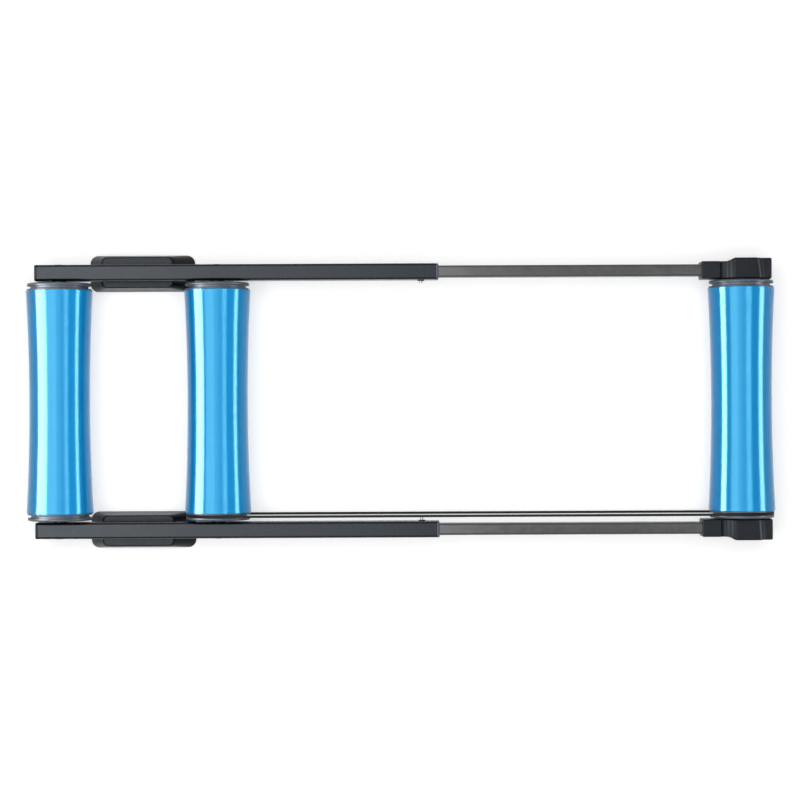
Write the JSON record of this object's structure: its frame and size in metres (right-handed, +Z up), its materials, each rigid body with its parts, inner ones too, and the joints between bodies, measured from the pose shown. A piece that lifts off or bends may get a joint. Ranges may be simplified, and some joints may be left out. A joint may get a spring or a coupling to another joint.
{
  "type": "bike rollers",
  "caption": "Bicycle training rollers: waisted drums in a telescoping frame, a cord belt from the middle drum to the front one, and low feet.",
  "frame": {"origin": "on the floor, midway between the rear and the front axle, in the centre plane", "axes": "+X to the front of the bicycle, +Y to the rider's left, +Z up"},
  "size_m": [1.252, 0.4964, 0.1175],
  "materials": {
    "drum_blue": "glossy moulded plastic",
    "cap_grey": "satin moulded plastic",
    "rail_paint": "satin dark grey powder coat",
    "tube_paint": "satin grey powder coat",
    "black_plastic": "black moulded nylon",
    "pad_rubber": "matt black rubber",
    "belt_cord": "dark grey elastic cord",
    "zinc_steel": "bright zinc plating",
    "bearing_steel": "ground bearing steel"
  },
  "bodies": {
    "frame": {"drive_belt": "belt_cord", "left_foot_pad_front": "pad_rubber", "left_foot_pad_rear": "pad_rubber", "left_foot_screw_front": "zinc_steel", "left_foot_screw_rear": "zinc_steel", "left_front_collar": "cap_grey", "left_middle_axle_screw": "zinc_steel", "left_middle_hole_plug": "black_plastic", "left_outer_rail": "rail_paint", "left_rear_axle_screw": "zinc_steel", "left_rear_foot": "black_plastic", "left_rear_hole_plug": "black_plastic", "left_rear_plug": "black_plastic", "middle_axle": "zinc_steel", "rear_axle": "zinc_steel", "right_foot_pad_front": "pad_rubber", "right_foot_pad_rear": "pad_rubber", "right_foot_screw_front": "zinc_steel", "right_foot_screw_rear": "zinc_steel", "right_front_collar": "cap_grey", "right_middle_axle_screw": "zinc_steel", "right_middle_hole_plug": "black_plastic", "right_outer_rail": "rail_paint", "right_rear_axle_screw": "zinc_steel", "right_rear_foot": "black_plastic", "right_rear_hole_plug": "black_plastic", "right_rear_plug": "black_plastic"},
    "carriage": {"left_inner_tube": "tube_paint", "left_tube_glide": "black_plastic", "left_front_bracket": "black_plastic", "left_front_pad": "pad_rubber", "left_sleeve_screw": "zinc_steel", "left_front_axle_screw": "zinc_steel", "right_inner_tube": "tube_paint", "right_tube_glide": "black_plastic", "right_front_bracket": "black_plastic", "right_front_pad": "pad_rubber", "right_sleeve_screw": "zinc_steel", "right_front_axle_screw": "zinc_steel", "front_axle": "zinc_steel"},
    "rear_roller": {"rear_drum": "drum_blue", "rear_left_cap": "cap_grey", "rear_left_bearing": "bearing_steel", "rear_right_cap": "cap_grey", "rear_right_bearing": "bearing_steel"},
    "middle_roller": {"middle_drum": "drum_blue", "middle_left_cap": "cap_grey", "middle_left_bearing": "bearing_steel", "middle_right_cap": "cap_grey", "middle_right_bearing": "bearing_steel"},
    "front_roller": {"front_drum": "drum_blue", "front_left_cap": "cap_grey", "front_left_bearing": "bearing_steel", "front_right_cap": "cap_grey", "front_right_bearing": "bearing_steel"},
    "left_lock": {"left_lock_screw": "zinc_steel"},
    "right_lock": {"right_lock_screw": "zinc_steel"}
  },
  "joints": [
    {"name": "frame_extension", "type": "slide", "parent": "frame", "child": "carriage", "axis": [1, 0, 0], "range_m": [-0.435, 0.095], "deforming": ["drive_belt"]},
    {"name": "rear_roller_spin", "type": "hinge", "parent": "frame", "child": "rear_roller", "pos_m": [-0.5705, 0, 0.062], "axis": [0, 1, 0], "continuous": true},
    {"name": "middle_roller_spin", "type": "hinge", "parent": "frame", "child": "middle_roller", "pos_m": [-0.306, 0, 0.062], "axis": [0, 1, 0], "continuous": true},
    {"name": "front_roller_spin", "type": "hinge", "parent": "carriage", "child": "front_roller", "pos_m": [0.5705, 0, 0.062], "axis": [0, 1, 0], "continuous": true},
    {"name": "left_lock_travel", "type": "slide", "parent": "frame", "child": "left_lock", "axis": [0, -1, 0], "range_m": [0, 0.002]},
    {"name": "right_lock_travel", "type": "slide", "parent": "frame", "child": "right_lock", "axis": [0, 1, 0], "range_m": [0, 0.002]}
  ],
  "couplings": [
    {"joint": "front_roller_spin", "follows": "middle_roller_spin", "ratio": 1}
  ]
}
